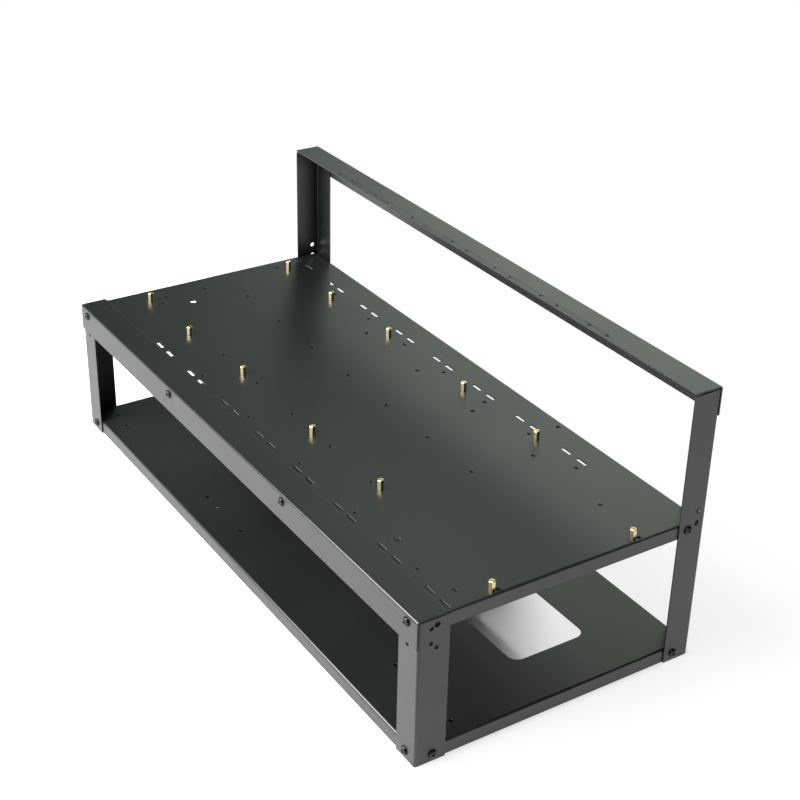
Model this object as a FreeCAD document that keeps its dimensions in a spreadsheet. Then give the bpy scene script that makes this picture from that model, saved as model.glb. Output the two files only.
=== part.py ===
import FreeCAD, Part
import math
import os
import Sketcher

# Open frame of folded steel sheet for a row of expansion cards.
# Millimetres, Z up. Every piece is drawn from the frame's left front bottom corner
# and then placed so that the origin lies under the middle of the frame.

doc = FreeCAD.newDocument("rig_frame")
sheet = doc.addObject("Spreadsheet::Sheet", "sizes")

# Driving sizes: name, value in millimetres (or a count), what it measures
SIZES = (
    ("gauge", 1.2, "thickness of every folded sheet"),
    ("bend", 0.8, "inside radius of every fold but the high bar's"),
    ("bar_bend", 1.2, "inside radius of the high bar's fold"),
    ("leg", 25.4, "outside width of an angle leg"),
    ("front_end_leg", 27.4, "outside width of a front post's end leg"),
    ("tray_long", 600.0, "outside length of both trays"),
    ("lower_deep", 264.0, "outside depth of the lower tray"),
    ("upper_deep", 263.0, "outside depth of the upper tray"),
    ("flange", 12.5, "outside height of the trays' turned-down edges"),
    ("relief", 3.0, "open square left at a tray corner for folding"),
    ("post_gap", 1.5, "gap between the upper tray's front edge and a post"),
    ("foot_lift", 0.5, "lower tray above the floor the posts stand on"),
    ("rail_top", 133.0, "top of the front rail above the floor"),
    ("bar_top", 248.6, "top of the high bar above the floor"),
    ("slot_pitch", 65.0, "card pitch along the frame"),
    ("slot_pair", 20.32, "two bracket tongues of a double-width card"),
    ("slot_long", 12.4, "length of a tongue slot"),
    ("slot_wide", 3.2, "width of a tongue slot"),
    ("slot_corner", 0.9, "corner taken off a tongue slot"),
    ("slot_count", 8, "pairs of slots in a row, and holes before the rear slots"),
    ("rear_slot_x", 10.5, "first slot of the rear row from the left end"),
    ("rear_slot_y", 237.8, "rear row of slots from the front"),
    ("front_slot_end", 10.28, "last slot of the front row from the right end"),
    ("front_slot_y", 30.1, "front row of slots from the front"),
    ("bar_hole_x", 80.7, "first hole in the high bar from the left end"),
    ("bar_hole_pair", 22.5, "two holes of a pair in the high bar"),
    ("bar_hole_inset", 4.5, "holes from the high bar's front edge"),
    ("bar_hole_count", 7, "pairs of holes in the high bar"),
    ("small_sides", 10, "flat sides drawn for a small round"),
    ("small_hole", 3.6, "plain punched hole"),
    ("bar_hole", 2.8, "bracket hole in the high bar"),
    ("post_hole", 4.4, "open hole in a post"),
    ("cable_hole", 6.0, "larger punched hole"),
    ("spare_hole", 5.0, "open screw hole left empty"),
    ("clear_hole", 4.4, "clearance hole for a frame screw"),
    ("tapped_hole", 4.0, "tapped hole for a frame screw"),
    ("rail_screw_end", 14.0, "screws on front and rear faces from a frame end"),
    ("rail_screw_mid", 103.5, "inner rail screws from the middle of the frame"),
    ("end_screw", 16.0, "screws on end faces from a post's outer corner"),
    ("screw_shank", 3.7, "screw shank diameter"),
    ("screw_reach", 5.0, "screw length under the head"),
    ("screw_head", 7.6, "screw head diameter"),
    ("screw_rise", 2.4, "screw head height"),
    ("screw_edge", 1.0, "edge taken off the screw head's crown"),
    ("pillar_flats", 5.0, "standoff across its flats"),
    ("pillar_high", 8.0, "standoff above the tray"),
    ("pillar_stud", 3.0, "standoff stud diameter"),
    ("pillar_reach", 4.0, "standoff stud length"),
    ("pillar_bore", 2.5, "threaded bore in a standoff's top"),
    ("pillar_depth", 6.0, "depth of that bore"),
    ("pillar_edge", 0.35, "chamfer on a standoff's top"),
    ("pillar_hole", 3.2, "tray hole for a standoff's stud"),
    ("board_rows", 154.94, "front to rear standoff of columns one to five"),
    ("board_short", 132.08, "front to rear standoff of column six"),
    ("column_a", 23.8, "first standoff column from the left end"),
    ("column_b", 110.6, "second standoff column"),
    ("column_c", 207.7, "third standoff column"),
    ("column_d", 333.1, "fourth standoff column"),
    ("column_e", 435.9, "fifth standoff column"),
    ("column_f_end", 7.8, "sixth standoff column from the right end"),
    ("row_ab", 63.6, "front standoffs of columns one and two from the front"),
    ("row_cd", 69.7, "front standoffs of columns three and four"),
    ("row_e", 73.4, "front standoff of column five"),
    ("row_f", 69.2, "front standoff of column six"),
    ("mate_x", 2.6, "hole beside a standoff of column six, along the frame"),
    ("mate_y", 4.1, "hole beside a standoff of column six, across the frame"),
    ("middle_row_x", 62.6, "first hole of the middle row from the left end"),
    ("middle_row_y", 150.5, "middle row of holes from the front"),
    ("inner_row_x", 34.4, "first hole of the row behind the front slots"),
    ("inner_row_y", 72.5, "that row from the front"),
    ("short_count", 7, "holes in the middle row and in that one"),
    ("outer_row_x", 36.4, "first hole of the row before the rear slots"),
    ("outer_row_y", 228.0, "that row from the front"),
    ("wide_pitch", 88.3, "pitch of the two wide rows of holes"),
    ("wide_row_end", 56.6, "last hole of the two wide rows from the right end"),
    ("wide_rear_y", 209.4, "rear wide row from the front"),
    ("wide_front_y", 37.4, "front wide row from the front"),
    ("wide_count", 5, "holes in a wide row"),
    ("left_hole_x", 24.0, "two single holes near the left end"),
    ("left_hole_y", 80.3, "the first of them from the front"),
    ("left_hole_far_y", 122.6, "the second of them from the front"),
    ("near_hole_end", 20.5, "single hole near the front from the right end"),
    ("near_hole_y", 45.6, "that hole from the front"),
    ("edge_hole_x", 429.6, "single hole near the rear edge"),
    ("edge_hole_y", 256.7, "that hole from the front"),
    ("cable_left_x", 46.4, "larger hole near the left end"),
    ("cable_left_y", 98.5, "that hole from the front"),
    ("cable_right_end", 97.0, "larger hole near the front slots from the right end"),
    ("cable_right_y", 45.2, "that hole from the front"),
    ("window_end", 50.4, "window in the lower tray from the right end"),
    ("window_long", 90.0, "window along the frame"),
    ("window_y", 128.5, "front edge of the window"),
    ("window_deep", 73.0, "window across the frame"),
    ("window_corner", 10.0, "corner radius of the window"),
    ("shelf_end_x", 22.5, "lower tray holes at the left end"),
    ("shelf_end_y", 20.5, "those holes from the front"),
    ("shelf_end_step", 23.0, "step between those two holes"),
    ("shelf_mid_x", 206.0, "first of three lower tray holes"),
    ("shelf_mid_y", 30.0, "those three from the front"),
    ("shelf_mid_step", 20.0, "first step between the three"),
    ("shelf_mid_span", 66.0, "first to third of the three"),
    ("shelf_far_end", 17.9, "last of two lower tray holes from the right end"),
    ("shelf_far_y", 45.5, "those two from the front"),
    ("shelf_far_step", 78.5, "step between those two"),
    ("post_mark", 105.4, "open holes on the front posts above the floor"),
    ("post_near_y", 11.0, "inner open holes on a front post's end leg, from its corner"),
    ("post_near_drop", 2.3, "the upper of them below the screw line"),
    ("post_near_mark", 110.2, "the lower of them above the floor"),
    ("rear_hole_y", 8.0, "open holes on a rear post's end leg, from its corner"),
    ("rear_hole_low", 130.0, "the lower of them above the floor"),
    ("rear_hole_high", 141.5, "the upper of them above the floor"),
)


class Size:
    """A number together with the sheet expression that gives it."""

    def __init__(self, text, value):
        self.text = text
        self.value = value

    def _with(self, sign, other, value):
        right = other.text if isinstance(other, Size) else repr(other)
        return Size("(%s %s %s)" % (self.text, sign, right), value)

    def __add__(self, other):
        return self._with("+", other, self.value + plain(other))

    def __sub__(self, other):
        return self._with("-", other, self.value - plain(other))

    def __mul__(self, other):
        return self._with("*", other, self.value * plain(other))

    def __truediv__(self, other):
        return self._with("/", other, self.value / plain(other))


def plain(number):
    return number.value if isinstance(number, Size) else number


S = {}
for row, (name, number, meaning) in enumerate(SIZES, start=1):
    sheet.set("A%d" % row, meaning)
    sheet.set("B%d" % row, str(number))
    sheet.setAlias("B%d" % row, name)
    S[name] = Size("sizes." + name, number)
doc.recompute()

# Sizes that follow from the driving ones
ZERO = Size("0", 0.0)
T = S["gauge"]
LEG = S["leg"]
LENGTH = S["tray_long"] + T * 2
DEPTH = S["lower_deep"] + T * 4
UPPER_TOP = S["rail_top"] - T
UPPER_REAR = T + S["upper_deep"]
LOWER_TOP = S["foot_lift"] + S["flange"]
FRONT_POST_TOP = UPPER_TOP - S["bend"]
REAR_POST_TOP = S["bar_top"] - T - S["bar_bend"]
POST_REAR = DEPTH - T
BAR_FRONT = POST_REAR - LEG
HIGH_LINE = UPPER_TOP - S["flange"] / 2
LOW_LINE = S["foot_lift"] + S["flange"] / 2
BAR_LINE = S["bar_top"] - LEG / 2
COLUMN_F = LENGTH - S["column_f_end"]
SHELF_FAR = LENGTH - S["shelf_far_end"]
FRONT_SLOT = LENGTH - S["front_slot_end"] - S["slot_pair"] - S["slot_pitch"] * (S["slot_count"] - 1)
WIDE_ROW = LENGTH - S["wide_row_end"] - S["wide_pitch"] * (S["wide_count"] - 1)
END_FRONT = T + S["end_screw"]
END_REAR = POST_REAR - S["end_screw"]
SIDE_LEFT = S["rail_screw_end"]
SIDE_RIGHT = LENGTH - S["rail_screw_end"]
MID_LEFT = LENGTH / 2 - S["rail_screw_mid"]
MID_RIGHT = LENGTH / 2 + S["rail_screw_mid"]
CUT = T * 4


def bind(target, name, size):
    target.setExpression(name, size.text)


def new_body(name):
    body = doc.addObject("PartDesign::Body", name)
    body.Label = name
    return body


def place_in_frame(body):
    """Moves a piece drawn from the frame's corner so the origin is under the frame's middle."""
    bind(body, "Placement.Base.x", ZERO - LENGTH / 2)
    bind(body, "Placement.Base.y", ZERO - DEPTH / 2)


def new_sketch(body, name, role, offset=ZERO):
    """A sketch on one of the body's own planes, moved along that plane's normal."""
    planes = [f for f in body.Origin.OriginFeatures if f.Role == role]
    sketch = body.newObject("Sketcher::SketchObject", body.Name + "_" + name)
    sketch.AttachmentSupport = (planes[0], [""])
    sketch.MapMode = "FlatFace"
    sketch.AttachmentOffset = FreeCAD.Placement(FreeCAD.Vector(0, 0, offset.value), FreeCAD.Rotation())
    bind(sketch, "AttachmentOffset.Base.z", offset)
    return sketch


def hold(sketch, *rules):
    """Adds constraints in one go; a Size as a rule's last item becomes a bound dimension."""
    made = [Sketcher.Constraint(*[plain(item) for item in rule]) for rule in rules]
    for rule, index in zip(rules, sketch.addConstraint(made)):
        if isinstance(rule[-1], Size):
            bind(sketch, "Constraints[%d]" % index, rule[-1])


def pinned(geometry, point, x=None, y=None):
    """Rules that hold a point at its distances from the sketch's axes, on an axis where one is nought."""
    rules = []
    for kind, axis, size in (("DistanceX", -2, x), ("DistanceY", -1, y)):
        if size is not None and size.value == 0:
            rules.append(("PointOnObject", geometry, point, axis))
        elif size is not None:
            rules.append((kind, -1, 1, geometry, point, size))
    return rules


def ring(sketch, corners):
    """Lines through the given corners and back to the first; returns the first line's number."""
    count = len(corners)
    first = sketch.GeometryCount
    points = [FreeCAD.Vector(x.value, y.value, 0) for x, y in corners]
    sketch.addGeometry([Part.LineSegment(points[i], points[(i + 1) % count]) for i in range(count)], False)
    hold(sketch, *[("Coincident", first + i, 2, first + (i + 1) % count, 1) for i in range(count)])
    return first


def outline(sketch, corners):
    """A closed outline of level and upright lines through the given corners."""
    first = ring(sketch, corners)
    rules = []
    for i, (x, y) in enumerate(corners):
        level = abs(y.value - corners[(i + 1) % len(corners)][1].value) < 1e-6
        rules.append(("Horizontal" if level else "Vertical", first + i))
        rules += pinned(first + i, 1, None if level else x, y if level else None)
    hold(sketch, *rules)


def box_outline(sketch, left, low, right, high):
    outline(sketch, [(left, low), (right, low), (right, high), (left, high)])


def circle(sketch, x, y, diameter):
    centre = FreeCAD.Vector(x.value, y.value, 0)
    index = sketch.addGeometry(Part.Circle(centre, FreeCAD.Vector(0, 0, 1), diameter.value / 2), False)
    hold(sketch, ("Diameter", index, diameter), *pinned(index, 3, x, y))


def facets(sketch, corners):
    """A closed outline whose corners are each held at their own place."""
    first = ring(sketch, corners)
    rules = []
    for i, (x, y) in enumerate(corners):
        rules += pinned(first + i, 1, x, y)
    hold(sketch, *rules)


def many_sided(sketch, x, y, diameter):
    """A small round drawn with a few flat sides, each touching the true circle."""
    sides = int(S["small_sides"].value)
    reach = 0.5 / math.cos(math.pi / sides)
    turns = [2 * math.pi * (i + 0.5) / sides for i in range(sides)]
    facets(sketch, [(x + diameter * (reach * math.cos(a)), y + diameter * (reach * math.sin(a)))
                    for a in turns])


def slot(sketch, x, y, length, width, corner):
    """A slot along the sketch's level axis, centred on x and y, with its corners taken off."""
    left, right = x - length / 2, x + length / 2
    low, high = y - width / 2, y + width / 2
    facets(sketch, [(left + corner, low), (right - corner, low), (right, low + corner),
                    (right, high - corner), (right - corner, high), (left + corner, high),
                    (left, high - corner), (left, low + corner)])


def pad(body, sketch, length, backwards=False):
    feature = body.newObject("PartDesign::Pad", sketch.Name + "_pad")
    feature.Profile = sketch
    feature.Reversed = backwards
    bind(feature, "Length", length)
    sketch.Visibility = False
    return feature


def pocket(body, sketch, depth=CUT):
    """Cuts the sketch out, half the depth on each side of its plane."""
    feature = body.newObject("PartDesign::Pocket", sketch.Name + "_cut")
    feature.Profile = sketch
    feature.SideType = "Symmetric"
    feature.Refine = False
    bind(feature, "Length", depth)
    sketch.Visibility = False
    return feature


def along(body, feature, sketch, pitch, count):
    """Repeats a cut along the sketch's level axis."""
    doc.recompute()
    pattern = body.newObject("PartDesign::LinearPattern", feature.Name + "_row")
    pattern.Originals = [feature]
    pattern.Direction = (sketch, ["H_Axis"])
    pattern.Refine = False
    bind(pattern, "Length", pitch * (count - 1))
    bind(pattern, "Occurrences", count)
    body.Tip = pattern
    return pattern


def edges_on(shape, x=None, y=None, z=None):
    """Names of the edges whose ends both lie on the given coordinates."""
    found = []
    for number, edge in enumerate(shape.Edges, start=1):
        ends = [v.Point for v in edge.Vertexes]
        matches = [abs(p[axis] - want.value) < 1e-4
                   for axis, want in enumerate((x, y, z)) if want is not None for p in ends]
        if len(ends) == 2 and all(matches):
            found.append("Edge%d" % number)
    return found


def tip_shape(body):
    doc.recompute()
    return body.Tip.Shape


def dress(body, kind, name, names, measure, size):
    """A fillet or chamfer on the named edges of the body as it stands."""
    base = body.Tip
    feature = body.newObject(kind, name)
    feature.Base = (base, names)
    bind(feature, measure, size)


def fold(body, outside, inside, bend=S["bend"]):
    """Rounds the folds: each list holds the coordinates of the sharp corner lines."""
    for lines, radius, kind in ((outside, bend + T, "outer"), (inside, bend, "inner")):
        names = []
        for line in lines:
            names += edges_on(tip_shape(body), **line)
        dress(body, "PartDesign::Fillet", body.Name + "_" + kind + "_fold", names, "Radius", radius)


def holes_in_front(body, name, y_plane, holes):
    """Round holes across the frame; holes are (x, z, diameter)."""
    sketch = new_sketch(body, name, "XZ_Plane", ZERO - y_plane)
    for x, z, diameter in holes:
        many_sided(sketch, x, z, diameter)
    return pocket(body, sketch)


def holes_in_end(body, name, x_plane, holes):
    """Round holes along the frame; holes are (y, z, diameter)."""
    sketch = new_sketch(body, name, "YZ_Plane", x_plane)
    for y, z, diameter in holes:
        many_sided(sketch, y, z, diameter)
    return pocket(body, sketch)


def holes_in_top(body, name, z_plane, holes, draw=many_sided):
    """Round holes straight down; holes are (x, y, diameter)."""
    sketch = new_sketch(body, name, "XY_Plane", z_plane)
    for x, y, diameter in holes:
        draw(sketch, x, y, diameter)
    return pocket(body, sketch), sketch


# The front rail: an angle lying over the tray's front edge, folded at its top front
rail = new_body("front_rail")
rail_section = new_sketch(rail, "section", "YZ_Plane")
rail_foot = S["rail_top"] - LEG
outline(rail_section, [(ZERO, rail_foot), (T, rail_foot), (T, UPPER_TOP), (LEG, UPPER_TOP),
                       (LEG, S["rail_top"]), (ZERO, S["rail_top"])])
pad(rail, rail_section, LENGTH)
fold(rail, [dict(y=ZERO, z=S["rail_top"])], [dict(y=T, z=UPPER_TOP)])
holes_in_front(rail, "screw_holes", T / 2,
               [(x, HIGH_LINE, S["clear_hole"]) for x in (SIDE_LEFT, MID_LEFT, MID_RIGHT, SIDE_RIGHT)])
place_in_frame(rail)

# The high bar: an angle over the rear posts, folded at its top rear, with pairs of bracket holes
bar = new_body("top_bar")
bar_section = new_sketch(bar, "section", "YZ_Plane")
bar_foot = S["bar_top"] - LEG
bar_under = S["bar_top"] - T
outline(bar_section, [(BAR_FRONT, bar_under), (POST_REAR, bar_under), (POST_REAR, bar_foot),
                      (DEPTH, bar_foot), (DEPTH, S["bar_top"]), (BAR_FRONT, S["bar_top"])])
pad(bar, bar_section, LENGTH)
fold(bar, [dict(y=DEPTH, z=S["bar_top"])], [dict(y=POST_REAR, z=bar_under)], S["bar_bend"])
holes_in_front(bar, "screw_holes", DEPTH - T / 2,
               [(x, BAR_LINE, S["clear_hole"]) for x in (SIDE_LEFT, SIDE_RIGHT)])
bar_hole_y = BAR_FRONT + S["bar_hole_inset"]
bar_pair, bar_pair_sketch = holes_in_top(
    bar, "bracket_holes", S["bar_top"] - T / 2,
    [(S["bar_hole_x"], bar_hole_y, S["bar_hole"]),
     (S["bar_hole_x"] + S["bar_hole_pair"], bar_hole_y, S["bar_hole"])], circle)
along(bar, bar_pair, bar_pair_sketch, S["slot_pitch"], S["bar_hole_count"])
place_in_frame(bar)


def post(name, left, front, height, face_holes, end_holes):
    """An upright angle in one corner; holes are (x, z, diameter) in its front or rear face
    and (y, z, diameter) in its end face."""
    body = new_body(name)
    section = new_sketch(body, "section", "XY_Plane")
    outer_x, inner_x, far_x = (ZERO, T, LEG) if left else (LENGTH, LENGTH - T, LENGTH - LEG)
    front_y = (T, T * 2, T + S["front_end_leg"])
    outer_y, inner_y, far_y = front_y if front else (POST_REAR, POST_REAR - T, BAR_FRONT)
    outline(section, [(outer_x, outer_y), (far_x, outer_y), (far_x, inner_y), (inner_x, inner_y),
                      (inner_x, far_y), (outer_x, far_y)])
    pad(body, section, height)
    fold(body, [dict(x=outer_x, y=outer_y)], [dict(x=inner_x, y=inner_y)])
    holes_in_front(body, "face_holes", (outer_y + inner_y) / 2, face_holes)
    holes_in_end(body, "end_holes", (outer_x + inner_x) / 2, end_holes)
    place_in_frame(body)
    return body


# Four posts: short angles under the rail, tall angles under the high bar
front_end_holes = [
    (END_FRONT, LOW_LINE, S["clear_hole"]),
    (END_FRONT, HIGH_LINE, S["spare_hole"]),
    (T + S["post_near_y"], HIGH_LINE - S["post_near_drop"], S["small_hole"]),
    (T + S["post_near_y"], S["post_near_mark"], S["small_hole"]),
    (END_FRONT, S["post_mark"], S["small_hole"]),
]
rear_end_holes = [
    (END_REAR, LOW_LINE, S["clear_hole"]),
    (END_REAR, HIGH_LINE, S["clear_hole"]),
    (POST_REAR - S["rear_hole_y"], S["rear_hole_low"], S["post_hole"]),
    (POST_REAR - S["rear_hole_y"], S["rear_hole_high"], S["post_hole"]),
]
for side, side_x in (("left", SIDE_LEFT), ("right", SIDE_RIGHT)):
    post("front_post_" + side, side == "left", True, FRONT_POST_TOP,
         [(side_x, LOW_LINE, S["clear_hole"]), (side_x, HIGH_LINE, S["tapped_hole"]),
          (side_x, S["post_mark"], S["small_hole"])], front_end_holes)
    post("rear_post_" + side, side == "left", False, REAR_POST_TOP,
         [(side_x, BAR_LINE, S["tapped_hole"])], rear_end_holes)


def tray(name, front, rear, top, across_from, along_from):
    """A shallow pan, open below: a strip with the front edge turned down, one with the rear edge
    and one with both ends, joined with the corners left open."""
    body = new_body(name)
    left = T
    right = LENGTH - T
    low = top - S["flange"]
    under = top - T
    across = new_sketch(body, "across", "YZ_Plane", left + across_from)
    inset = rear - S["relief"]
    outline(across, [(front, low), (front + T, low), (front + T, under), (inset, under),
                     (inset, top), (front, top)])
    pad(body, across, S["tray_long"] - across_from * 2)
    back = new_sketch(body, "back", "YZ_Plane", left + S["relief"])
    back_from = inset - S["relief"]
    outline(back, [(back_from, under), (rear - T, under), (rear - T, low), (rear, low),
                   (rear, top), (back_from, top)])
    pad(body, back, S["tray_long"] - S["relief"] * 2)
    lengthwise = new_sketch(body, "lengthwise", "XZ_Plane", ZERO - front - along_from)
    outline(lengthwise, [(left, low), (left + T, low), (left + T, under), (right - T, under),
                         (right - T, low), (right, low), (right, top), (left, top)])
    pad(body, lengthwise, rear - front - along_from - S["relief"], backwards=True)
    fold(body,
         [dict(y=front, z=top), dict(y=rear, z=top), dict(x=left, z=top), dict(x=right, z=top)],
         [dict(y=front + T, z=under), dict(y=rear - T, z=under),
          dict(x=left + T, z=under), dict(x=right - T, z=under)])
    return body


# The lower tray: a shelf between the posts with a window and a few plain holes
shelf = tray("lower_tray", T * 2, DEPTH - T * 2, LOWER_TOP, S["relief"], S["relief"])
END_SHEETS = (("left", T + T / 2), ("right", LENGTH - T - T / 2))
holes_in_front(shelf, "front_taps", T * 2 + T / 2,
               [(x, LOW_LINE, S["tapped_hole"]) for x in (SIDE_LEFT, SIDE_RIGHT)])
for side, x_plane in END_SHEETS:
    holes_in_end(shelf, side + "_taps", x_plane,
                 [(y, LOW_LINE, S["tapped_hole"]) for y in (END_FRONT, END_REAR)])
holes_in_top(shelf, "plain_holes", LOWER_TOP - T / 2, [
    (S["shelf_end_x"], S["shelf_end_y"], S["small_hole"]),
    (S["shelf_end_x"] + S["shelf_end_step"], S["shelf_end_y"], S["small_hole"]),
    (S["shelf_mid_x"], S["shelf_mid_y"], S["small_hole"]),
    (S["shelf_mid_x"] + S["shelf_mid_step"], S["shelf_mid_y"], S["small_hole"]),
    (S["shelf_mid_x"] + S["shelf_mid_span"], S["shelf_mid_y"], S["small_hole"]),
    (SHELF_FAR - S["shelf_far_step"], S["shelf_far_y"], S["small_hole"]),
    (SHELF_FAR, S["shelf_far_y"], S["small_hole"]),
])
window = new_sketch(shelf, "window", "XY_Plane", LOWER_TOP - T / 2)
window_right = LENGTH - S["window_end"]
window_left = window_right - S["window_long"]
window_rear = S["window_y"] + S["window_deep"]
box_outline(window, window_left, S["window_y"], window_right, window_rear)
pocket(shelf, window)
corner_edges = []
for corner_x in (window_left, window_right):
    for corner_y in (S["window_y"], window_rear):
        corner_edges += edges_on(tip_shape(shelf), x=corner_x, y=corner_y)
dress(shelf, "PartDesign::Fillet", "lower_tray_window_corners", corner_edges, "Radius", S["window_corner"])
place_in_frame(shelf)

# Standoff columns, front and rear rows
COLUMNS = (
    (S["column_a"], S["row_ab"], S["board_rows"]),
    (S["column_b"], S["row_ab"], S["board_rows"]),
    (S["column_c"], S["row_cd"], S["board_rows"]),
    (S["column_d"], S["row_cd"], S["board_rows"]),
    (S["column_e"], S["row_e"], S["board_rows"]),
    (COLUMN_F, S["row_f"], S["board_short"]),
)
PILLARS = [(x, y) for x, y, span in COLUMNS] + [(x, y + span) for x, y, span in COLUMNS]

# The upper tray: slot pairs for card brackets, standoff holes and rows of plain holes
deck = tray("upper_tray", T, UPPER_REAR, UPPER_TOP, LEG - T + S["post_gap"], T + S["post_gap"])
deck_plane = UPPER_TOP - T / 2
holes_in_front(deck, "front_taps", T + T / 2,
               [(x, HIGH_LINE, S["tapped_hole"]) for x in (MID_LEFT, MID_RIGHT)])
for side, x_plane in END_SHEETS:
    holes_in_end(deck, side + "_taps", x_plane,
                 [(y, HIGH_LINE, S["tapped_hole"]) for y in (END_FRONT, END_REAR)])
cards = new_sketch(deck, "cards", "XY_Plane", deck_plane)
for first_x, slot_y in ((S["rear_slot_x"], S["rear_slot_y"]), (FRONT_SLOT, S["front_slot_y"])):
    for slot_x in (first_x, first_x + S["slot_pair"]):
        slot(cards, slot_x, slot_y, S["slot_long"], S["slot_wide"], S["slot_corner"])
many_sided(cards, S["outer_row_x"], S["outer_row_y"], S["small_hole"])
along(deck, pocket(deck, cards), cards, S["slot_pitch"], S["slot_count"])
for name, holes, pitch, count in (
        ("short_rows", [(S["middle_row_x"], S["middle_row_y"]), (S["inner_row_x"], S["inner_row_y"])],
         S["slot_pitch"], S["short_count"]),
        ("wide_rows", [(WIDE_ROW, S["wide_rear_y"]), (WIDE_ROW, S["wide_front_y"])],
         S["wide_pitch"], S["wide_count"])):
    cut, sketch = holes_in_top(deck, name, deck_plane, [(x, y, S["small_hole"]) for x, y in holes])
    along(deck, cut, sketch, pitch, count)
holes_in_top(deck, "pillar_holes", deck_plane, [(x, y, S["pillar_hole"]) for x, y in PILLARS])
holes_in_top(deck, "single_holes", deck_plane, [
    (WIDE_ROW - S["wide_pitch"] * 2, S["wide_rear_y"], S["small_hole"]),
    (S["left_hole_x"], S["left_hole_y"], S["small_hole"]),
    (S["left_hole_x"], S["left_hole_far_y"], S["small_hole"]),
    (LENGTH - S["near_hole_end"], S["near_hole_y"], S["small_hole"]),
    (S["edge_hole_x"], S["edge_hole_y"], S["small_hole"]),
    (COLUMN_F + S["mate_x"], S["row_f"] + S["mate_y"], S["small_hole"]),
    (COLUMN_F + S["mate_x"], S["row_f"] + S["board_short"] + S["mate_y"], S["small_hole"]),
    (S["cable_left_x"], S["cable_left_y"], S["cable_hole"]),
    (LENGTH - S["cable_right_end"], S["cable_right_y"], S["cable_hole"]),
])
place_in_frame(deck)


def hexagon(sketch, flats):
    """A hexagon about the sketch's origin with two flats upright."""
    radius = flats.value / math.sqrt(3)
    turns = [math.radians(60 * i) for i in range(6)]
    tips = [FreeCAD.Vector(radius * math.sin(a), radius * math.cos(a), 0) for a in turns]
    sketch.addGeometry([Part.LineSegment(tips[i], tips[(i + 1) % 6]) for i in range(6)], False)
    inner = Part.Circle(FreeCAD.Vector(0, 0, 0), FreeCAD.Vector(0, 0, 1), flats.value / 2)
    guide = sketch.addGeometry(inner, True)
    rules = [("Coincident", guide, 3, -1, 1), ("Diameter", guide, flats), ("Vertical", 1)]
    rules += [("Coincident", i, 2, (i + 1) % 6, 1) for i in range(6)]
    rules += [("Tangent", i, guide) for i in range(6)]
    rules += [("Equal", 0, i) for i in range(1, 6)]
    hold(sketch, *rules)


def standoff(name, x, y):
    """A brass hexagon pillar with a stud below and a threaded bore in its top."""
    body = new_body(name)
    pillar = new_sketch(body, "pillar", "XY_Plane")
    hexagon(pillar, S["pillar_flats"])
    pad(body, pillar, S["pillar_high"])
    top_edges = edges_on(tip_shape(body), z=S["pillar_high"])
    dress(body, "PartDesign::Chamfer", name + "_rim", top_edges, "Size", S["pillar_edge"])
    stud = new_sketch(body, "stud", "XY_Plane")
    many_sided(stud, ZERO, ZERO, S["pillar_stud"])
    pad(body, stud, S["pillar_reach"], backwards=True)
    bore = new_sketch(body, "bore", "XY_Plane", S["pillar_high"])
    circle(bore, ZERO, ZERO, S["pillar_bore"])
    pocket(body, bore, S["pillar_depth"] * 2)
    bind(body, "Placement.Base.x", x - LENGTH / 2)
    bind(body, "Placement.Base.y", y - DEPTH / 2)
    bind(body, "Placement.Base.z", UPPER_TOP)
    return body


for number, (x, y) in enumerate(PILLARS, start=1):
    standoff("standoff_%02d" % number, x, y)

# One pan-head screw along +Z with its seat at z = 0
pattern_screw = new_body("pattern_screw")
shank = new_sketch(pattern_screw, "shank", "XY_Plane")
many_sided(shank, ZERO, ZERO, S["screw_shank"])
pad(pattern_screw, shank, S["screw_reach"], backwards=True)
head = new_sketch(pattern_screw, "head", "XY_Plane")
many_sided(head, ZERO, ZERO, S["screw_head"])
pad(pattern_screw, head, S["screw_rise"])
crown = edges_on(tip_shape(pattern_screw), z=S["screw_rise"])
dress(pattern_screw, "PartDesign::Chamfer", "pattern_screw_crown", crown, "Size", S["screw_edge"])

# Every frame screw: seat position and the way its head points
FRONT, REAR, LEFT, RIGHT = "front", "rear", "left", "right"
TURN = {
    FRONT: FreeCAD.Rotation(FreeCAD.Vector(1, 0, 0), 90),
    REAR: FreeCAD.Rotation(FreeCAD.Vector(1, 0, 0), -90),
    LEFT: FreeCAD.Rotation(FreeCAD.Vector(0, 1, 0), -90),
    RIGHT: FreeCAD.Rotation(FreeCAD.Vector(0, 1, 0), 90),
}
seats = [(x, ZERO, HIGH_LINE, FRONT) for x in (SIDE_LEFT, MID_LEFT, MID_RIGHT, SIDE_RIGHT)]
seats += [(x, T, LOW_LINE, FRONT) for x in (SIDE_LEFT, SIDE_RIGHT)]
seats += [(x, DEPTH, BAR_LINE, REAR) for x in (SIDE_LEFT, SIDE_RIGHT)]
for end_x, way in ((ZERO, LEFT), (LENGTH, RIGHT)):
    seats += [(end_x, END_FRONT, LOW_LINE, way)]
    seats += [(end_x, END_REAR, z, way) for z in (LOW_LINE, HIGH_LINE)]
doc.recompute()
screw_links = []
for number, (x, y, z, way) in enumerate(seats, start=1):
    link = doc.addObject("App::Link", "screw_%02d" % number)
    link.LinkedObject = pattern_screw
    link.LinkTransform = False
    link.Placement = FreeCAD.Placement(FreeCAD.Vector(0, 0, 0), TURN[way])
    bind(link, "Placement.Base.x", x - LENGTH / 2)
    bind(link, "Placement.Base.y", y - DEPTH / 2)
    bind(link, "Placement.Base.z", z)
    screw_links.append(link)
screws = doc.addObject("Part::Compound", "screws")
screws.Label = "screws"
screws.Links = screw_links
doc.recompute()

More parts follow.
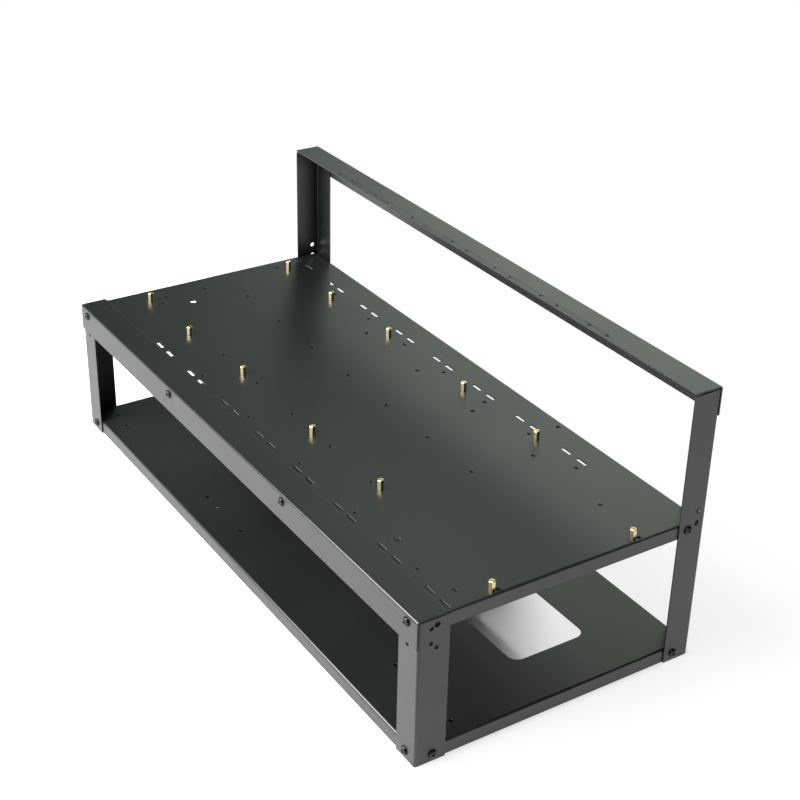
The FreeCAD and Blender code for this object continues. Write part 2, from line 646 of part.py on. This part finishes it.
# Every piece is checked before it is written
NODES = ["front_rail", "top_bar", "front_post_left", "front_post_right", "rear_post_left",
         "rear_post_right", "lower_tray", "upper_tray", "screws"]
NODES += ["standoff_%02d" % number for number in range(1, len(PILLARS) + 1)]
for item in doc.Objects:
    if "Invalid" in item.State or "Error" in item.State:
        raise RuntimeError("%s did not build: %s" % (item.Label, item.State))
os.makedirs("parts", exist_ok=True)
for node in NODES:
    shape = doc.getObjectsByLabel(node)[0].Shape
    if shape.isNull() or not shape.isValid():
        raise RuntimeError("%s has no sound shape" % node)
    shape.exportStep("parts/%s.step" % node)
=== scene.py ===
import math
import bmesh
import bpy
from mathutils import Matrix, Vector


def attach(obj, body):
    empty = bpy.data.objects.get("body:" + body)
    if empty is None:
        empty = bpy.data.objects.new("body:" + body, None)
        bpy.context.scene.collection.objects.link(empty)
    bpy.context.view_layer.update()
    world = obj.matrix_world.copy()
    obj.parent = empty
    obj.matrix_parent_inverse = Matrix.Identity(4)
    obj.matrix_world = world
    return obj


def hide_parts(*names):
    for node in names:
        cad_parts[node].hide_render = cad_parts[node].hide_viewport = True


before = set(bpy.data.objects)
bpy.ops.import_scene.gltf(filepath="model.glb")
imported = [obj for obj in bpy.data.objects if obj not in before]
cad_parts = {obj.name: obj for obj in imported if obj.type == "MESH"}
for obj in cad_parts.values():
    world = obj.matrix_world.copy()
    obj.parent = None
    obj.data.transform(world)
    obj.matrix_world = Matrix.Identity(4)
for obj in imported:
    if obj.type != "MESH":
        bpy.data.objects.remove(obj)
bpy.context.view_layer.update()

MM = 0.001


# Colours and nodes

def linear(hex_colour):
    """An sRGB hex colour as linear red, green, blue and alpha."""
    parts = [int(hex_colour[i:i + 2], 16) / 255 for i in (1, 3, 5)]
    return [c / 12.92 if c <= 0.04045 else ((c + 0.055) / 1.055) ** 2.4 for c in parts] + [1.0]


def add(tree, kind, inputs=None, **settings):
    """One node with its settings; an input is a number, a colour or another node's output socket."""
    node = tree.nodes.new(kind)
    for name, value in settings.items():
        setattr(node, name, value)
    for name, value in (inputs or {}).items():
        if isinstance(value, bpy.types.NodeSocket):
            tree.links.new(value, node.inputs[name])
        else:
            node.inputs[name].default_value = value
    return node


def new_material(name):
    """An empty material and its node tree."""
    material = bpy.data.materials.new(name)
    material.use_nodes = True
    material.node_tree.nodes.clear()
    return material, material.node_tree


# Satin black powder coat, sprayed and baked on folded steel sheet. It gives the eye a near-black
# body under a soft, slightly pebbled gloss that picks up pale floors at a low angle.
PEBBLE_SIZE = 3 * MM
PEBBLE_RELIEF = 0.02 * MM
PATCH_SIZE = 90 * MM


def powder_coat(name, ior):
    material, tree = new_material(name)
    place = add(tree, "ShaderNodeTexCoord").outputs["Object"]
    # Pebbling of a baked coat is 1 to 3 mm across, drawn at 3 mm so that it still shows
    pebble = add(tree, "ShaderNodeTexNoise", {"Vector": place, "Scale": 1 / PEBBLE_SIZE, "Detail": 2.0})
    # The spray is a little thicker and glossier in patches
    patches = add(tree, "ShaderNodeTexNoise", {"Vector": place, "Scale": 1 / PATCH_SIZE, "Detail": 2.0})
    gloss = add(tree, "ShaderNodeMapRange", {
        "Value": patches.outputs["Fac"], "From Min": 0.3, "From Max": 0.7, "To Min": 0.38, "To Max": 0.42})
    body = add(tree, "ShaderNodeMix", {
        "Factor": patches.outputs["Fac"], "A": linear("#06090b"), "B": linear("#090d10")}, data_type="RGBA")
    relief = add(tree, "ShaderNodeBump", {
        "Height": pebble.outputs["Fac"], "Strength": 0.25, "Distance": PEBBLE_RELIEF})
    coat = add(tree, "ShaderNodeBsdfPrincipled", {
        "Base Color": body.outputs["Result"], "Roughness": gloss.outputs["Result"], "IOR": ior,
        "Normal": relief.outputs["Normal"]})
    add(tree, "ShaderNodeOutputMaterial", {"Surface": coat.outputs["BSDF"]})
    return material


# Free-cutting brass, drawn as hexagon bar and turned off to length. It gives a warm yellow metal with
# bright facets and faint lines along the draw.
DRAW_LINE_GAP = 0.4 * MM
DRAW_LINE_STRETCH = (1.0, 1.0, 0.05)


def drawn_brass():
    material, tree = new_material("drawn_brass")
    place = add(tree, "ShaderNodeTexCoord").outputs["Object"]
    # Draw lines run the length of the pillar, coarser than real ones so that they still show
    stretched = add(tree, "ShaderNodeMapping", {"Vector": place, "Scale": DRAW_LINE_STRETCH})
    lines = add(tree, "ShaderNodeTexNoise", {
        "Vector": stretched.outputs["Vector"], "Scale": 1 / DRAW_LINE_GAP})
    gloss = add(tree, "ShaderNodeMapRange", {"Value": lines.outputs["Fac"], "To Min": 0.2, "To Max": 0.36})
    body = add(tree, "ShaderNodeMix", {
        "Factor": lines.outputs["Fac"], "A": linear("#d6c592"), "B": linear("#ecdfb8")}, data_type="RGBA")
    metal = add(tree, "ShaderNodeBsdfPrincipled", {
        "Base Color": body.outputs["Result"], "Metallic": 1.0, "Roughness": gloss.outputs["Result"]})
    add(tree, "ShaderNodeOutputMaterial", {"Surface": metal.outputs["BSDF"]})
    return material


# Black-oxide steel, as screws come: a dark oiled metal with small sharp glints on its edges
OIL_SPOT_SIZE = 1.5 * MM


def black_oxide():
    material, tree = new_material("black_oxide_steel")
    place = add(tree, "ShaderNodeTexCoord").outputs["Object"]
    # Oil dries in spots
    spots = add(tree, "ShaderNodeTexNoise", {"Vector": place, "Scale": 1 / OIL_SPOT_SIZE, "Detail": 3.0})
    gloss = add(tree, "ShaderNodeMapRange", {"Value": spots.outputs["Fac"], "To Min": 0.2, "To Max": 0.36})
    body = add(tree, "ShaderNodeMix", {
        "Factor": spots.outputs["Fac"], "A": linear("#38393c"), "B": linear("#48494d")}, data_type="RGBA")
    metal = add(tree, "ShaderNodeBsdfPrincipled", {
        "Base Color": body.outputs["Result"], "Metallic": 1.0, "Roughness": gloss.outputs["Result"]})
    add(tree, "ShaderNodeOutputMaterial", {"Surface": metal.outputs["BSDF"]})
    return material


# A pigmented coat mirrors somewhat more than clear lacquer, and the rail gets a copy of it that mirrors a
# shade less
COAT = powder_coat("satin_black_powder_coat", ior=1.72)
RAIL_COAT = powder_coat("satin_black_powder_coat_dull", ior=1.66)
BRASS = drawn_brass()
SCREW = black_oxide()


# The sheets and standoffs keep their solids; edges get a small round

WELD_REACH = 0.001 * MM
ROUNDED_FROM = math.radians(40)
RAIL_EDGE = 0.4 * MM
SHEET_EDGE = 0.25 * MM
STANDOFF_EDGE = 0.12 * MM
SHEETS = ("front_rail", "top_bar", "front_post_left", "front_post_right", "rear_post_left",
          "rear_post_right", "lower_tray", "upper_tray")


def dress(piece, material, radius):
    """A CAD node with its material and with rounded edges."""
    for place in piece.material_slots:
        place.material = material
    weld = piece.modifiers.new("joined_faces", "WELD")
    weld.merge_threshold = WELD_REACH
    edge = piece.modifiers.new("coated_edge", "BEVEL")
    edge.width = radius
    edge.segments = 2
    edge.limit_method = "ANGLE"
    edge.angle_limit = ROUNDED_FROM
    edge.use_clamp_overlap = False
    # The flats keep their own normals up to the edge, so that no shade runs across them from a hole
    edge.harden_normals = True


for name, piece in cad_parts.items():
    if name == "front_rail":
        dress(piece, RAIL_COAT, RAIL_EDGE)
    elif name in SHEETS:
        dress(piece, COAT, SHEET_EDGE)
    elif name.startswith("standoff_"):
        dress(piece, BRASS, STANDOFF_EDGE)


# Frame screws: pan heads with a cross recess, one mesh standing for the plain solids

HEAD_RADIUS = 3.8 * MM
HEAD_RISE = 2.35 * MM
HEAD_RIM = 0.9 * MM
CROWN_DEGREES = (0, 15, 30, 45, 60, 75)
SHANK_RADIUS = 1.85 * MM
SHANK_REACH = 5.0 * MM
TIP_RADIUS = 0.8 * SHANK_RADIUS
TIP_LENGTH = 0.4 * MM
SCREW_SIDES = 32
RECESS_SPAN = 4.4 * MM
RECESS_FLOOR_SPAN = 0.55 * RECESS_SPAN
RECESS_WIDE = 0.9 * MM
RECESS_DEEP = 1.3 * MM
CUTTER_RISE = 0.3 * MM
QUARTER_TURNS = ((1, 0), (0, 1), (-1, 0), (0, -1))
SHARP_FROM = math.radians(35)


def circle(radius, height, sides):
    """Points of a level ring about +Z."""
    angles = [2 * math.pi * i / sides for i in range(sides)]
    return [Vector((radius * math.cos(a), radius * math.sin(a), height)) for a in angles]


def new_piece(name, shape):
    """A linked object made from a bmesh, which is freed."""
    bmesh.ops.recalc_face_normals(shape, faces=shape.faces)
    mesh = bpy.data.meshes.new(name)
    shape.to_mesh(mesh)
    shape.free()
    piece = bpy.data.objects.new(name, mesh)
    bpy.context.collection.objects.link(piece)
    return piece


def plain_screw():
    """A domed screw without its recess, turned about +Z with its seat at the origin."""
    crown = HEAD_RISE - HEAD_RIM
    dome = [(HEAD_RADIUS * math.cos(math.radians(a)), HEAD_RIM + crown * math.sin(math.radians(a)))
            for a in CROWN_DEGREES]
    profile = [(TIP_RADIUS, -SHANK_REACH), (SHANK_RADIUS, -SHANK_REACH + TIP_LENGTH), (SHANK_RADIUS, 0),
               (HEAD_RADIUS, 0)] + dome
    shape = bmesh.new()
    rings = [[shape.verts.new((0, 0, -SHANK_REACH))]]
    for radius, height in profile:
        rings.append([shape.verts.new(point) for point in circle(radius, height, SCREW_SIDES)])
    rings.append([shape.verts.new((0, 0, HEAD_RISE))])
    for low, high in zip(rings, rings[1:]):
        for i in range(SCREW_SIDES):
            corners = [low[i % len(low)], low[(i + 1) % len(low)],
                       high[(i + 1) % len(high)], high[i % len(high)]]
            shape.faces.new(list(dict.fromkeys(corners)))
    return new_piece("pan_head_screw", shape)


def cross_cutter():
    """A tapered cross that reaches from the recess floor to just above the head."""
    half = RECESS_WIDE / 2
    shape = bmesh.new()
    rows = []
    levels = ((RECESS_FLOOR_SPAN, HEAD_RISE - RECESS_DEEP), (RECESS_SPAN, HEAD_RISE + CUTTER_RISE))
    for span, height in levels:
        arm = span / 2
        row = []
        for cos, sin in QUARTER_TURNS:
            for x, y in ((arm, half), (half, half), (half, arm)):
                row.append(shape.verts.new((x * cos - y * sin, x * sin + y * cos, height)))
        rows.append(row)
    floor_row, top_row = rows
    for i, corner in enumerate(floor_row):
        j = (i + 1) % len(floor_row)
        shape.faces.new((corner, floor_row[j], top_row[j], top_row[i]))
    shape.faces.new(top_row)
    shape.faces.new(list(reversed(floor_row)))
    return new_piece("cross_recess", shape)


def pan_head_screw():
    """One screw along +Z with its seat at the origin, as a mesh."""
    screw = plain_screw()
    cutter = cross_cutter()
    cut = screw.modifiers.new("cross", "BOOLEAN")
    cut.object = cutter
    cut.operation = "DIFFERENCE"
    cut.solver = "EXACT"
    made = bpy.data.meshes.new_from_object(screw.evaluated_get(bpy.context.evaluated_depsgraph_get()))
    bpy.data.objects.remove(screw)
    bpy.data.objects.remove(cutter)
    return made


# Size of the frame over its sheets, and the heights and places of the screws
LENGTH = 602.4 * MM
DEPTH = 268.8 * MM
SHEET = 1.2 * MM
HIGH_LINE = 125.55 * MM
LOW_LINE = 6.75 * MM
BAR_LINE = 235.9 * MM
FRONT_INSET = 14.0 * MM
END_INSET = 16.0 * MM
SIDE = LENGTH / 2 - FRONT_INSET
MIDDLE = 103.5 * MM
END_FRONT = -DEPTH / 2 + SHEET + END_INSET
END_REAR = DEPTH / 2 - SHEET - END_INSET
FRONT = Matrix.Rotation(math.radians(90), 4, "X")
REAR = Matrix.Rotation(math.radians(-90), 4, "X")
LEFT = Matrix.Rotation(math.radians(-90), 4, "Y")
RIGHT = Matrix.Rotation(math.radians(90), 4, "Y")
SEATS = [((x, -DEPTH / 2, HIGH_LINE), FRONT) for x in (-SIDE, -MIDDLE, MIDDLE, SIDE)]
SEATS += [((x, -DEPTH / 2 + SHEET, LOW_LINE), FRONT) for x in (-SIDE, SIDE)]
SEATS += [((x, DEPTH / 2, BAR_LINE), REAR) for x in (-SIDE, SIDE)]
for end, way in ((-LENGTH / 2, LEFT), (LENGTH / 2, RIGHT)):
    SEATS += [((end, across, height), way) for across, height in (
        (END_FRONT, LOW_LINE), (END_REAR, LOW_LINE), (END_REAR, HIGH_LINE))]
TURN_BETWEEN_SCREWS = math.radians(37)

one_screw = pan_head_screw()
all_screws = bmesh.new()
for number, (seat, way) in enumerate(SEATS):
    # Each screw stopped at its own turn when it was driven home
    driven = Matrix.Rotation(TURN_BETWEEN_SCREWS * number, 4, "Z")
    start = len(all_screws.verts)
    all_screws.from_mesh(one_screw)
    all_screws.verts.ensure_lookup_table()
    bmesh.ops.transform(all_screws, matrix=Matrix.Translation(seat) @ way @ driven,
                        verts=all_screws.verts[start:])
screw_mesh = bpy.data.meshes.new("frame_screws")
all_screws.to_mesh(screw_mesh)
all_screws.free()
screw_mesh.set_sharp_from_angle(angle=SHARP_FROM)
screw_mesh.materials.append(SCREW)
frame_screws = bpy.data.objects.new("frame_screws", screw_mesh)
bpy.context.collection.objects.link(frame_screws)
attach(frame_screws, "root")
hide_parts("screws")


# Tapped holes: thin sheet is drawn down into a short collar to give the thread enough turns

TRAY_UNDER = 130.6 * MM
COLLAR_BORE = 1.8 * MM
COLLAR_WALL = 0.28 * MM
COLLAR_OUTSIDE = COLLAR_BORE + COLLAR_WALL
COLLAR_HIGH = 1.8 * MM
COLLAR_SIDES = 20
COLLAR_SECTION = ((COLLAR_BORE, 0), (COLLAR_OUTSIDE, 0), (COLLAR_OUTSIDE, -COLLAR_HIGH),
                  (COLLAR_BORE, -COLLAR_HIGH))
# Holes in mm from the left end and from the front: the first of the row, the row's pitch and its count
HOLE_ROWS = ((36.4, 228.0, 65.0, 8), (62.6, 150.5, 65.0, 7), (34.4, 72.5, 65.0, 7),
             (192.6, 209.4, 88.3, 5), (192.6, 37.4, 88.3, 5))
SINGLE_HOLES = ((16.0, 209.4), (24.0, 80.3), (24.0, 122.6), (581.9, 45.6), (429.6, 256.7), (597.2, 73.3),
                (597.2, 205.38))
holes = [(first + pitch * number, across) for first, across, pitch, count in HOLE_ROWS
         for number in range(count)]
holes += SINGLE_HOLES

tubes = bmesh.new()
for along, across in holes:
    top = Vector((along * MM - LENGTH / 2, across * MM - DEPTH / 2, TRAY_UNDER))
    rings = [[tubes.verts.new(top + point) for point in circle(radius, height, COLLAR_SIDES)]
             for radius, height in COLLAR_SECTION]
    for ring, next_ring in zip(rings, rings[1:] + rings[:1]):
        for i in range(COLLAR_SIDES):
            j = (i + 1) % COLLAR_SIDES
            tubes.faces.new((ring[i], ring[j], next_ring[j], next_ring[i]))
collars = new_piece("tray_tapped_collars", tubes)
collars.data.shade_smooth()
collars.data.set_sharp_from_angle(angle=SHARP_FROM)
collars.data.materials.append(COAT)
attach(collars, "root")


# Floor of white paper that keeps the frame's shadow, with painted light that washes the shadow out in
# places

FLOOR_REACH = 60.0
WINDOW_MIDDLE = (0.213, 0.045, 0.0)
WINDOW_LEAN = 0.5
# Painted light fills the paper: plain white is mixed in and washes out the frame's shadow, most of it at
# the right and behind the frame, all of it further off, and as a painted pool of light under the lower
# tray's window that grows towards the right rear. Each soft step says what is measured in metres, where it
# starts, where it ends and how far it rises.
PAINTED_LIGHT_STEPS = {
    "near_right": ("to_right", 0.288, 0.306, 0.85),
    "near_rear": ("to_rear", 0.122, 0.140, 0.85),
    "far_right": ("to_right", 0.32, 0.60, 1.0),
    "far_rear": ("to_rear", 0.18, 0.45, 1.0),
    "far_round": ("from_middle", 0.7, 1.3, 1.0),
    "window_spot": ("from_window", 0.11, 0.07, 1.0),
    "window_slope": ("to_right_rear", 0.10, 0.18, 0.78)}


# Paper with painted light: plain white emission is mixed in wherever the steps rise
def paper_with_painted_light():
    material, tree = new_material("white_paper_with_painted_light")
    place = add(tree, "ShaderNodeTexCoord").outputs["Object"]
    split = add(tree, "ShaderNodeSeparateXYZ", {"Vector": place})
    from_middle = add(tree, "ShaderNodeVectorMath", {0: place}, operation="LENGTH")
    from_window = add(tree, "ShaderNodeVectorMath", {0: place, 1: WINDOW_MIDDLE}, operation="DISTANCE")
    to_right_rear = add(tree, "ShaderNodeMath", {
        0: split.outputs["X"], 1: WINDOW_LEAN, 2: split.outputs["Y"]}, operation="MULTIPLY_ADD")
    measured = {
        "to_right": split.outputs["X"], "to_rear": split.outputs["Y"],
        "from_middle": from_middle.outputs["Value"], "from_window": from_window.outputs["Value"],
        "to_right_rear": to_right_rear.outputs["Value"]}
    steps = {}
    for name, (measure, begin, end, rise) in PAINTED_LIGHT_STEPS.items():
        step = add(tree, "ShaderNodeMapRange", {
            "Value": measured[measure], "From Min": begin, "From Max": end, "To Max": rise},
            interpolation_type="SMOOTHSTEP")
        steps[name] = step.outputs["Result"]
    # Painted light: a painted pool under the window, and painted fill that washes out the shadow round the
    # frame
    window = add(tree, "ShaderNodeMath", {
        0: steps["window_spot"], 1: steps["window_slope"]}, operation="MULTIPLY")
    painted_fill = window.outputs["Value"]
    for name in ("near_right", "near_rear", "far_right", "far_rear", "far_round"):
        larger = add(tree, "ShaderNodeMath", {0: painted_fill, 1: steps[name]}, operation="MAXIMUM")
        painted_fill = larger.outputs["Value"]
    # The camera, mirrors and glass all see the paper with its painted light
    path = add(tree, "ShaderNodeLightPath")
    seen = path.outputs["Is Camera Ray"]
    for ray in ("Is Glossy Ray", "Is Transmission Ray"):
        either = add(tree, "ShaderNodeMath", {0: seen, 1: path.outputs[ray]}, operation="MAXIMUM")
        seen = either.outputs["Value"]
    share = add(tree, "ShaderNodeMath", {0: seen, 1: painted_fill}, operation="MULTIPLY")
    paper = add(tree, "ShaderNodeBsdfDiffuse", {"Color": linear("#ffffff")})
    white = add(tree, "ShaderNodeEmission", {"Strength": 1.0})
    both = add(tree, "ShaderNodeMixShader", {
        0: share.outputs["Value"], 1: paper.outputs["BSDF"], 2: white.outputs["Emission"]})
    add(tree, "ShaderNodeOutputMaterial", {"Surface": both.outputs["Shader"]})
    return material


floor_mesh = bpy.data.meshes.new("floor")
floor_corners = [(x * FLOOR_REACH, y * FLOOR_REACH, 0) for x, y in ((-1, -1), (1, -1), (1, 1), (-1, 1))]
floor_mesh.from_pydata(floor_corners, [], [(0, 1, 2, 3)])
floor = bpy.data.objects.new("floor", floor_mesh)
floor_mesh.materials.append(paper_with_painted_light())
bpy.context.collection.objects.link(floor)


# Room, which lights the frame and shows in reflections; from the camera only floor is seen

# Going round in degrees from -X over -Y, +X and +Y: a dim room at the left, light from the front left,
# a dark room from the right to the back and a pale wall at the back left
WALLS = ((0, "#3b463c"), (28, "#c9cfd3"), (75, "#b6babe"), (140, "#2e3234"), (272, "#2e3234"),
         (292, "#ecf7ea"), (325, "#f2feef"), (332, "#3a463b"), (360, "#3b463c"))
# Soft steps up the walls, as the sine of the angle over the floor: where each starts and ends
WALL_STEPS = {"above_skirting": (0.08, 0.30), "ceiling": (0.55, 0.68), "below_window_top": (0.50, 0.37)}
SKIRTING_SHARE = 0.4
DIM_LEVEL = 1.25
BRIGHT_LEVEL = 2.3

world = bpy.data.worlds.new("studio")
world.use_nodes = True
sky = world.node_tree
sky.nodes.clear()
direction = add(sky, "ShaderNodeTexCoord").outputs["Generated"]
split = add(sky, "ShaderNodeSeparateXYZ", {"Vector": direction})
turn = add(sky, "ShaderNodeMath", {0: split.outputs["Y"], 1: split.outputs["X"]}, operation="ARCTAN2")
round_trip = add(sky, "ShaderNodeMapRange", {
    "Value": turn.outputs["Value"], "From Min": -math.pi, "From Max": math.pi})
walls = add(sky, "ShaderNodeValToRGB", {"Fac": round_trip.outputs["Result"]})
stops = walls.color_ramp.elements
stops[0].color = linear(WALLS[0][1])
stops[-1].color = linear(WALLS[-1][1])
for degrees, tint in WALLS[1:-1]:
    stops.new(degrees / 360).color = linear(tint)
# The walls are brightest at about the height of a window and the ceiling is dim
wall_steps = {}
for name, (begin, end) in WALL_STEPS.items():
    step = add(sky, "ShaderNodeMapRange", {
        "Value": split.outputs["Z"], "From Min": begin, "From Max": end}, interpolation_type="SMOOTHSTEP")
    wall_steps[name] = step.outputs["Result"]
skirting = add(sky, "ShaderNodeMix", {
    "Factor": SKIRTING_SHARE, "A": linear("#4a5052"), "B": walls.outputs["Color"]}, data_type="RGBA")
lit = add(sky, "ShaderNodeMix", {
    "Factor": wall_steps["above_skirting"], "A": skirting.outputs["Result"], "B": walls.outputs["Color"]},
    data_type="RGBA")
overhead = add(sky, "ShaderNodeMix", {
    "Factor": wall_steps["ceiling"], "A": lit.outputs["Result"], "B": linear("#2a2f2b")}, data_type="RGBA")
glow = add(sky, "ShaderNodeMix", {
    "Factor": wall_steps["below_window_top"], "A": DIM_LEVEL, "B": BRIGHT_LEVEL})
backdrop = add(sky, "ShaderNodeBackground", {
    "Color": overhead.outputs["Result"], "Strength": glow.outputs["Result"]})
add(sky, "ShaderNodeOutputWorld", {"Surface": backdrop.outputs["Background"]})
bpy.context.scene.world = world


# Lamps and camera

def softbox(name, place, aim, side, watts):
    """A square area lamp at a place, turned to face its aim."""
    lamp = bpy.data.lights.new(name, "AREA")
    lamp.shape = "RECTANGLE"
    lamp.size = side
    lamp.size_y = side
    lamp.energy = watts
    box = bpy.data.objects.new(name, lamp)
    box.location = place
    box.rotation_euler = (Vector(aim) - Vector(place)).to_track_quat("-Z", "Y").to_euler()
    bpy.context.collection.objects.link(box)


softbox("key", place=(-0.4, -1.6, 1.6), aim=(0.0, -0.3, 0.0), side=1.4, watts=104)
softbox("top", place=(0.2, -0.9, 2.5), aim=(0.1, 0.1, 0.0), side=1.6, watts=30)

# Lens in millimetres, and the camera's turn and place
lens = bpy.data.cameras.new("camera")
lens.lens = 71.34
lens.sensor_width = 36.0
camera = bpy.data.objects.new("camera", lens)
camera.matrix_world = Matrix(((0.5379, -0.4146, 0.7340, 1.04325),
                              (0.8427, 0.2430, -0.4804, -0.63914),
                              (0.0209, 0.8770, 0.4801, 0.80163),
                              (0, 0, 0, 1)))
bpy.context.collection.objects.link(camera)
bpy.context.scene.camera = camera
bpy.context.scene.view_settings.view_transform = "Standard"
